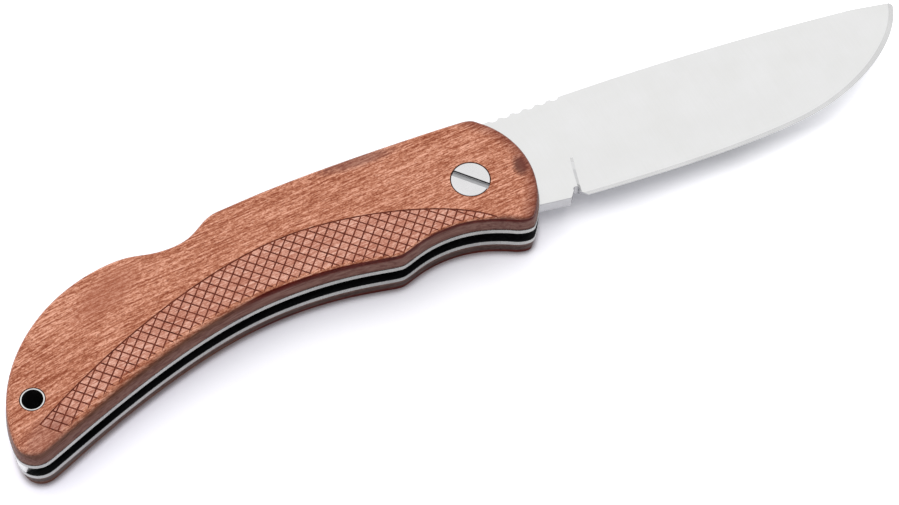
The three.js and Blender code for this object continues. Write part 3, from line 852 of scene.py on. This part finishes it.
def make_finishes():
    return {
        "wood": oiled_wood("oiled_wood", (136, 65, 38), (187, 119, 90), (240, 177, 150)),
        "panel": oiled_wood("checkered_wood", (168, 101, 80), (202, 140, 118), (236, 184, 164)),
        "groove": dark_groove_wood(),
        "liner": ground("liner_steel", (156, 156, 154), (180, 180, 177), 0.26, (3, 3, 0.15)),
        # Painted shade: the liners' faces inside the slot are near black
        "liner_inside": ground("liner_slot_shade", (40, 40, 42), (66, 66, 68), 0.5, (0.3, 4, 4)),
        "blade": ground("blade_steel", (236, 236, 235), (240, 240, 240), 0.3, (3, 0.12, 0.5), 0.0003, 0.01),
        # Painted reflection of the shaded floor: darker steel on the faces of the blade that stand on edge
        "flank": ground("blade_flank_steel", (176, 176, 177), (196, 196, 197), 0.34, (4, 4, 0.3), 0.002),
        "edge": ground("honed_edge", (214, 214, 214), (228, 228, 228), 0.2, (6, 0.8, 0.8), 0.002),
        "lock": ground("lock_steel", (206, 206, 204), (230, 230, 228), 0.3, (0.4, 4, 4)),
        "screw": ground("screw_steel", (226, 225, 226), (238, 237, 238), 0.22, (0.6, 5, 2)),
        # Painted shadow on the walls of the screw's slot, and painted shade on its floor
        "slot": ground("slot_steel", (60, 58, 60), (92, 90, 92), 0.4, (2, 2, 2)),
        "slot_floor": ground("slot_floor_steel", (176, 176, 178), (204, 204, 206), 0.45, (1, 1, 1)),
        "pin": ground("pin_steel", (206, 206, 206), (228, 228, 228), 0.24, (4, 4, 0.3)),
        "tube": ground("tube_steel", (232, 232, 230), (248, 248, 246), 0.16, (2, 2, 2)),
        "tube_inside": bore_shade_steel(),
        "spring": ground("spring_steel", (150, 152, 160), (176, 178, 186), 0.36, (0.3, 4, 4)),
        "bronze": ground("bearing_bronze", (170, 132, 78), (198, 160, 100), 0.36, (3, 3, 3)),
    }


# Scales and liners
def scale_stations():
    """The scale's seat outline, the way in at each of its points, and how round its edge is there"""
    seat = rim_of("upper_scale", LINER_TOP)
    face = rim_of("upper_scale", HANDLE_TOP)
    count = len(seat)

    def apart(k):
        return sum((seat[i] - face[(i + k) % count]).length for i in range(count))

    turn = min(range(count), key=apart)
    ways = inwards(seat)
    radii = [(face[(i + turn) % count] - seat[i]).length / ways[i].length - SIDE_LEAN for i in range(count)]
    fine = flowing(seat)
    spread = []
    for i in range(len(fine)):
        k, part = divmod(i, STATION_PARTS)
        share = part / STATION_PARTS
        spread.append(radii[k] * (1 - share) + radii[(k + 1) % count] * share)
    return fine, inwards(fine), spread


def scale_body():
    """The upper scale: from its seat up the leaning side and round the edge to the face"""
    outline, ways, radii = scale_stations()
    rows = [[(0, LINER_TOP)] * len(outline)]
    for step in range(ROUNDING_STEPS + 1):
        angle = step / ROUNDING_STEPS * math.pi / 2
        drawn = 1 - math.cos(angle)
        sunk = 1 - math.sin(angle)
        rows.append([(SIDE_LEAN + r * drawn, HANDLE_TOP - r * sunk) for r in radii])
    return loft([[p + way * draw + Vector((0, 0, z)) for p, way, (draw, z) in zip(outline, ways, row)]
                 for row in rows])


def scale_holes():
    """The holes in the upper scale, as rods to cut with"""
    under = LINER_TOP - OVERCUT
    over = HANDLE_TOP + OVERCUT
    yield rod(PIVOT, BARREL_RADIUS + GAP, under, over, finish=GROOVE)
    yield rod(PIVOT, HEAD_RADIUS + HEAD_GAP, HANDLE_TOP - HEAD_THICKNESS, over, finish=GROOVE)
    yield rod(LANYARD, TUBE_RADIUS + TUBE_GAP, under, over, finish=GROOVE)
    for place, radius in PINS:
        yield rod(place, radius + GAP, under, LINER_TOP + PIN_SINK + GAP, finish=GROOVE)


def groove(line, profile, finish):
    """A cutter of V section along a line in the upper face"""
    sections = []
    for i, point in enumerate(line):
        along = line[min(i + 1, len(line) - 1)] - line[max(i - 1, 0)]
        aside = Vector((-along.y, along.x, 0)).normalized()
        sections.append([point + aside * across + Vector((0, 0, HANDLE_TOP + up)) for across, up in profile])
    return loft(sections, finish)


def border_line(steps=40):
    line = []
    for a, b in zip(BORDER, BORDER[1:]):
        line += bend(a, b, steps)[:-1]
    return line + [Vector((*BORDER[-1][:2], 0))]


def checkering(border):
    """Both families of grooves, each clipped to the panel"""
    panel = border + [PANEL_CORNER, border[0] + PANEL_END.to_3d()]
    centre = sum(panel, Vector()) / len(panel)
    for angle, spacing, start in FAMILIES:
        across = toward(angle)
        along = Vector((-across.y, across.x, 0))
        reach = [p.x * across.x + p.y * across.y for p in panel]
        first = math.floor((min(reach) - start) / spacing)
        last = math.ceil((max(reach) - start) / spacing)
        bars = []
        for k in range(first, last + 1):
            middle = across.to_3d() * (start + k * spacing)
            middle -= along * middle.dot(along)
            middle += along * centre.dot(along)
            ends = [middle - along * GROOVE_REACH, middle + along * GROOVE_REACH]
            bar = groove(ends, CHECKER_GROOVE, PANEL)
            for face in bar.faces:
                if abs(face.normal.z) < GROOVE_FACING:
                    face.material_index = GROOVE
            bars.append(bar)
        family = solid("grooves", joined(bars), scale=1)
        clip = plate(panel, HANDLE_TOP - CLIP_BELOW, HANDLE_TOP + CLIP_ABOVE)
        yield lifted(carve(family, clip, "INTERSECT"))


def height_at(line, x):
    """The height at one place of a line that runs along X"""
    k = next(i for i, point in enumerate(line) if point.x > x)
    share = (x - line[k - 1].x) / (line[k].x - line[k - 1].x)
    return line[k - 1].y * (1 - share) + line[k].y * share


def finish_pads(bm, border):
    """Gives the small pads of the face between the grooves their own finish"""
    rear = border[0]
    for face in bm.faces:
        centre = face.calc_center_median()
        on_face = face.normal.z >= 0.999 and centre.z >= HANDLE_TOP - 0.01
        between = rear.x < centre.x < border[-1].x and PANEL_END.cross(centre.xy - rear.xy) > 0
        if on_face and between and face.calc_area() <= PAD_AREA and centre.y < height_at(border, centre.x):
            face.material_index = PANEL


def make_scales(finishes):
    slots = [finishes["wood"], finishes["panel"], finishes["groove"]]
    scale = solid("scale", scale_body(), slots, 1)
    border = border_line()
    for hole in scale_holes():
        carve(scale, hole)
    carve(scale, groove(border, BORDER_GROOVE, GROOVE))
    for family in checkering(border):
        carve(scale, family)
    upper = lifted(scale)
    finish_pads(upper, border)
    lower = upper.copy()
    bmesh.ops.scale(lower, vec=(1, 1, -1), verts=lower.verts)
    bmesh.ops.translate(lower, vec=(0, 0, HANDLE_TOP), verts=lower.verts)
    bmesh.ops.reverse_faces(lower, faces=lower.faces)
    settle(polish(solid("upper_wood_scale", upper, slots), 25), "handle", "wood", "upper_scale")
    settle(polish(solid("lower_wood_scale", lower, slots), 25), "handle", "wood", "lower_scale")


def make_liners(finishes):
    slots = [finishes["liner"], finishes["liner_inside"]]
    outline = flowing(rim_of("upper_liner", LINER_TOP))
    for name, node, bottom, inner in (("upper_steel_liner", "upper_liner", SLOT_TOP, SLOT_TOP),
                                      ("lower_steel_liner", "lower_liner", LINER_BOTTOM, SLOT_BOTTOM)):
        top = bottom + LINER_TOP - SLOT_TOP
        liner = solid(name, eased(outline, bottom, top), slots, 1)
        for place, radius in [(PIVOT, BARREL_RADIUS), (LANYARD, TUBE_RADIUS), *PINS]:
            carve(liner, rod(place, radius + GAP, bottom - OVERCUT, top + OVERCUT))
        # The faces inside the slot take the painted shade
        for face in liner.data.polygons:
            if abs(face.center.z - inner) < 0.01:
                face.material_index = 1
        settle(polish(in_metres(liner)), "handle", "polished_steel", node)


# Blade
def crossing(centre_a, radius_a, centre_b, radius_b):
    """Where two circles cross, on the left going from the first centre to the second"""
    unit = Vector(centre_b) - Vector(centre_a)
    span = unit.length
    unit.normalize()
    along = (span ** 2 + radius_a ** 2 - radius_b ** 2) / (2 * span)
    aside = math.sqrt(radius_a ** 2 - along ** 2)
    return Vector(centre_a) + unit * along + Vector((-unit.y, unit.x)) * aside


def edge_line(steps=60):
    """The cutting edge from the heel to the tip"""
    return bend(HEEL, BELLY_LOW, steps)[:-1] + bend(BELLY_LOW, TIP, steps)


def spine_line(end, steps=60):
    """Points along the back of the blade from the tip to a place near the pivot"""
    return swept(Vector(SPINE_TIP), Vector(SPINE_CONTROL), Vector(end), steps)


def blade_outline():
    """Round the blade from the end of the ricasso: edge, spine, shoulder for the tooth, and tang"""
    foot = toward(TOOTH_ANGLE) * (RIM_RADIUS + GAP)
    radius = (foot - Vector(ROCKER)).length + GAP
    rise = SPINE_START[1] - ROCKER[1]
    top = (ROCKER[0] + math.sqrt(radius ** 2 - rise ** 2), SPINE_START[1])
    shoulder = crossing(ROCKER, radius, PIVOT, RIM_RADIUS)
    corner = Vector(RICASSO_START)
    rim_end = angle_from(PIVOT, corner) + 360 - math.degrees(math.acos(RIM_RADIUS / corner.length))
    points = [Vector((*RICASSO_END, 0))]
    points += edge_line()
    points += spine_line(top)[:-1]
    points += arc(ROCKER, radius, angle_from(ROCKER, top), angle_from(ROCKER, shoulder), 8)[:-1]
    points += arc(PIVOT, RIM_RADIUS, angle_from(PIVOT, shoulder), rim_end, 48)
    return points + [corner.to_3d()]


def grind_profile():
    """Height above the edge and depth from the middle plane of the grind, from its low blend up"""
    heel = BEVEL_WIDTH[0]
    slope = (HALF_THICKNESS - EDGE_LAND - BEVEL_SLOPE * heel) / (GRIND_HEIGHT - heel)
    low = Vector((GRIND_HEIGHT - GRIND_BLEND, HALF_THICKNESS - GRIND_BLEND * slope))
    turn = Vector((GRIND_HEIGHT, HALF_THICKNESS))
    high = Vector((GRIND_HEIGHT + GRIND_BLEND, HALF_THICKNESS + GRIND_FADE))
    blend = [p.xy for p in swept(low, turn, high, 8)]
    outside = HALF_THICKNESS + OVERCUT
    return blend + [Vector((high.x, outside)), Vector((-OVERCUT, outside))]


def grind(side, steps=90):
    """A cutter for one side of the grind, from the plunge line forward, blended softly into the flat"""
    profile = grind_profile()
    run_out = Vector((*TIP[:2], 0)) + GRIND_RUN_OUT
    line = [Vector((*PLUNGE_START, 0)), *edge_line(), run_out]
    lengths = [0]
    for a, b in zip(line, line[1:]):
        lengths.append(lengths[-1] + (b - a).length)
    sections = []
    for i in range(-1, steps + 1):
        share = max(0, i) / steps
        run = share * lengths[-1]
        k = next(j for j in range(1, len(line)) if lengths[j] >= run - 1e-6)
        foot = line[k - 1].lerp(line[k], (run - lengths[k - 1]) / (lengths[k] - lengths[k - 1]))
        along = (line[min(k + 1, len(line) - 1)] - line[max(k - 2, 0)]).normalized()
        inward = Vector((-along.y, along.x, 0))
        width = BEVEL_WIDTH[0] + (BEVEL_WIDTH[1] - BEVEL_WIDTH[0]) * share ** 2
        bevel = Vector((width, EDGE_LAND + BEVEL_SLOPE * width))
        face = [bevel.lerp(profile[0], part / 4) for part in range(4)]
        upright = PLUNGE_LEAN * max(0, 1 - share / PLUNGE_REACH)
        section = []
        for height, depth in [(-OVERCUT, EDGE_LAND), (0, EDGE_LAND), *face, *profile]:
            lean = upright * max(0, height / GRIND_HEIGHT) ** PLUNGE_CURVE
            if i < 0:
                lean -= PLUNGE_WIDTH
                depth = max(depth, HALF_THICKNESS + 0.01)
            section.append(foot + inward * height + along * lean + Vector((0, 0, MIDDLE + side * depth)))
        sections.append(section)
    return loft(sections)


def choil(low, high):
    """A cutter for the notch between the ricasso and the heel of the edge"""
    x, y = CHOIL_TOP
    left, right = (CHOIL_RADIUS + flare for flare in CHOIL_FLARE)
    notch = [Vector((x - left, y - CHOIL_DEPTH, 0)), Vector((x + right, y - CHOIL_DEPTH, 0))]
    notch += arc((x, y - CHOIL_RADIUS), CHOIL_RADIUS, 0, 180, 24)
    return plate(notch, low, high)


def jimping(low, high):
    """Cutters for the row of small notches in the spine ahead of the handle"""
    spine = spine_line(SPINE_START, 200)
    for i in range(JIMPING_COUNT):
        x = JIMPING_START + i * JIMPING_PITCH
        back = min(spine, key=lambda p: abs(p.x - x)).y
        yield rod((x, back + JIMPING_RADIUS - JIMPING_DEPTH), JIMPING_RADIUS, low, high, 48)


def nail_nick():
    """A wheel with a slanting rim, which cuts the nail nick in the lower side"""
    wheel = bmesh.new()
    place = Matrix.Translation((*NICK_PLACE, BLADE_BOTTOM + NICK_DEPTH - NICK_WHEEL))
    bmesh.ops.create_cone(wheel, cap_ends=True, segments=256, radius1=NICK_WHEEL - NICK_DEPTH,
                          radius2=NICK_WHEEL, depth=NICK_WIDTH,
                          matrix=place @ Matrix.Rotation(-math.pi / 2, 4, "X"))
    return wheel


def make_blade(finishes):
    slots = [finishes["blade"], finishes["edge"], finishes["flank"]]
    blade = solid("steel_blade", eased(blade_outline(), BLADE_BOTTOM, BLADE_TOP), slots, 1)
    low = BLADE_BOTTOM - OVERCUT
    high = BLADE_TOP + OVERCUT
    bore = rod(PIVOT, BARREL_RADIUS + GAP, low, high)
    for cutter in (grind(1), grind(-1), choil(low, high), bore, *jimping(low, high), nail_nick()):
        carve(blade, cutter)
    # Edge bevel faces get the honed finish; the faces on edge get the darker steel of painted reflection
    for face in blade.data.polygons:
        facing = abs(face.normal.z)
        plunge = face.normal.x > 0.5 and face.center.y > CHOIL_TOP[1]
        if BEVEL_FACING[0] < facing < BEVEL_FACING[1] and face.center.x > CHOIL_TOP[0]:
            face.material_index = 1
        elif facing < FLANK_FACING and not plunge:
            face.material_index = 2
    settle(polish(in_metres(blade), 5, False), "blade", "satin_steel", "blade")


# Round pieces
def head_crown():
    """The rounded rim of a pivot head, as radius and depth below its face, from its side in"""
    turns = [math.radians(degrees) for degrees in range(0, 91, 15)]
    return [(HEAD_RADIUS - HEAD_CHAMFER * (1 - math.cos(a)), HEAD_CHAMFER * (1 - math.sin(a))) for a in turns]


def make_screw(finishes):
    end = BARREL_FLOOR + GAP
    under = HANDLE_TOP - HEAD_THICKNESS
    crown = [(radius, HANDLE_TOP - depth) for radius, depth in head_crown()]
    profile = [(0, end), (SCREW_RADIUS - SCREW_EASE, end), (SCREW_RADIUS, end + SCREW_EASE),
               (SCREW_RADIUS, under), (HEAD_RADIUS - HEAD_EASE, under), (HEAD_RADIUS, under + HEAD_EASE),
               *crown, (0, HANDLE_TOP)]
    slots = [finishes["screw"], finishes["slot"], finishes["slot_floor"]]
    screw = solid("slotted_pivot_screw", turned(profile), slots, 1)
    slot = bmesh.new()
    turn = Matrix.Rotation(math.radians(SLOT_ANGLE), 4, "Z")
    size = Matrix.Diagonal((3 * HEAD_RADIUS, SLOT_WIDTH, 2 * SLOT_DEPTH, 1))
    bmesh.ops.create_cube(slot, size=1, matrix=Matrix.Translation((0, 0, HANDLE_TOP)) @ turn @ size)
    bottom = [e for e in slot.edges if all(v.co.z < HANDLE_TOP for v in e.verts)]
    bmesh.ops.bevel(slot, geom=bottom, offset=SLOT_EASE, segments=2, profile=0.5, affect="EDGES", material=-1)
    # The slot's walls get the painted shadow, its floor the painted shade
    for face in slot.faces:
        face.material_index = 1 if abs(face.normal.z) < SLOT_FACING else 2
    carve(screw, slot)
    settle(polish(in_metres(screw)), "handle", "polished_steel", "pivot_screw")


def make_barrel(finishes):
    end = HANDLE_TOP - HEAD_THICKNESS - GAP
    bore = SCREW_RADIUS + GAP
    profile = [(0, 0), *head_crown()[::-1], (HEAD_RADIUS, HEAD_THICKNESS - HEAD_EASE),
               (HEAD_RADIUS - HEAD_EASE, HEAD_THICKNESS), (BARREL_RADIUS, HEAD_THICKNESS),
               (BARREL_RADIUS, end - BARREL_EASE), (BARREL_RADIUS - BARREL_EASE, end),
               (bore + BARREL_EASE, end), (bore, end - BARREL_EASE), (bore, BARREL_FLOOR), (0, BARREL_FLOOR)]
    barrel = solid("round_pivot_barrel", turned(profile), [finishes["screw"]])
    settle(polish(barrel), "handle", "polished_steel", "pivot_barrel")


def make_tube(finishes):
    bore = TUBE_RADIUS - TUBE_WALL
    half = TUBE_WALL / 2
    turns = [math.radians(degrees) for degrees in range(0, 181, 20)]
    lip = [(bore + half * (1 - math.cos(a)), half * (1 - math.sin(a))) for a in turns]
    profile = lip + [(radius, HANDLE_TOP - depth) for radius, depth in reversed(lip)]
    tube = solid("steel_lanyard_tube", turned(profile, LANYARD), [finishes["tube"], finishes["tube_inside"]])
    # The bore's wall takes the painted shade
    for face in tube.data.polygons:
        reach = (Vector(face.center[:2]) / MM - Vector(LANYARD)).length
        if reach < bore + 0.05:
            face.material_index = 1
    settle(polish(tube, 40, False), "handle", "polished_steel", "lanyard_tube")


def make_washers(finishes):
    bore = BARREL_RADIUS + GAP
    ease = WASHER_EASE
    for name, node, bottom in (("lower_bronze_washer", "lower_washer", SLOT_BOTTOM),
                               ("upper_bronze_washer", "upper_washer", SLOT_TOP - WASHER_THICKNESS)):
        top = bottom + WASHER_THICKNESS
        profile = [(bore, bottom + ease), (bore + ease, bottom), (WASHER_RADIUS - ease, bottom),
                   (WASHER_RADIUS, bottom + ease), (WASHER_RADIUS, top - ease), (WASHER_RADIUS - ease, top),
                   (bore + ease, top), (bore, top - ease)]
        settle(polish(solid(name, turned(profile, steps=96), [finishes["bronze"]])), "handle", "bronze", node)


def make_pins(finishes):
    low = LINER_BOTTOM - PIN_SINK
    high = LINER_TOP + PIN_SINK
    names = (("round_rocker_pin", "rocker_pin"), ("round_front_pin", "front_spacer_pin"),
             ("round_rear_pin", "rear_spacer_pin"))
    for (place, radius), (name, node) in zip(PINS, names):
        slim = radius - PIN_EASE
        profile = [(0, low), (slim, low), (radius, low + PIN_EASE), (radius, high - PIN_EASE), (slim, high),
                   (0, high)]
        pin = solid(name, turned(profile, place, 64), [finishes["pin"]])
        settle(polish(pin), "handle", "polished_steel", node)


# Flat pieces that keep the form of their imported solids
def broken_edges(name, node, finish):
    """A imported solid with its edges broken"""
    bm = merged(node)
    bmesh.ops.dissolve_limit(bm, angle_limit=math.radians(1), verts=bm.verts, edges=bm.edges)
    crisp = [e for e in bm.edges if e.calc_face_angle(0) > math.radians(35)]
    bmesh.ops.bevel(bm, geom=crisp, offset=FLAT_EASE, segments=2, profile=0.5, affect="EDGES", material=-1,
                    clamp_overlap=True)
    return polish(solid(name, bm, [finish]))


def make_lock(finishes):
    bar = broken_edges("steel_lock_bar", "lock_bar", finishes["lock"])
    settle(bar, "lock_bar", "satin_steel", "lock_bar")
    spacer = broken_edges("steel_tail_spacer", "tail_spacer", finishes["lock"])
    settle(spacer, "handle", "polished_steel", "tail_spacer")
    spring = broken_edges("leaf_spring", "back_spring", finishes["spring"])
    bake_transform(spring)
    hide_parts("back_spring")


bpy.context.scene.view_settings.view_transform = "Standard"
make_camera()
make_key_lamp()
make_room()
make_floor()
finishes = make_finishes()
make_scales(finishes)
make_liners(finishes)
make_blade(finishes)
make_screw(finishes)
make_barrel(finishes)
make_tube(finishes)
make_washers(finishes)
make_pins(finishes)
make_lock(finishes)

boxes = {"cad": cad_box, "visual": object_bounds()}
{key: [list(corner) for corner in box] for key, box in boxes.items()}
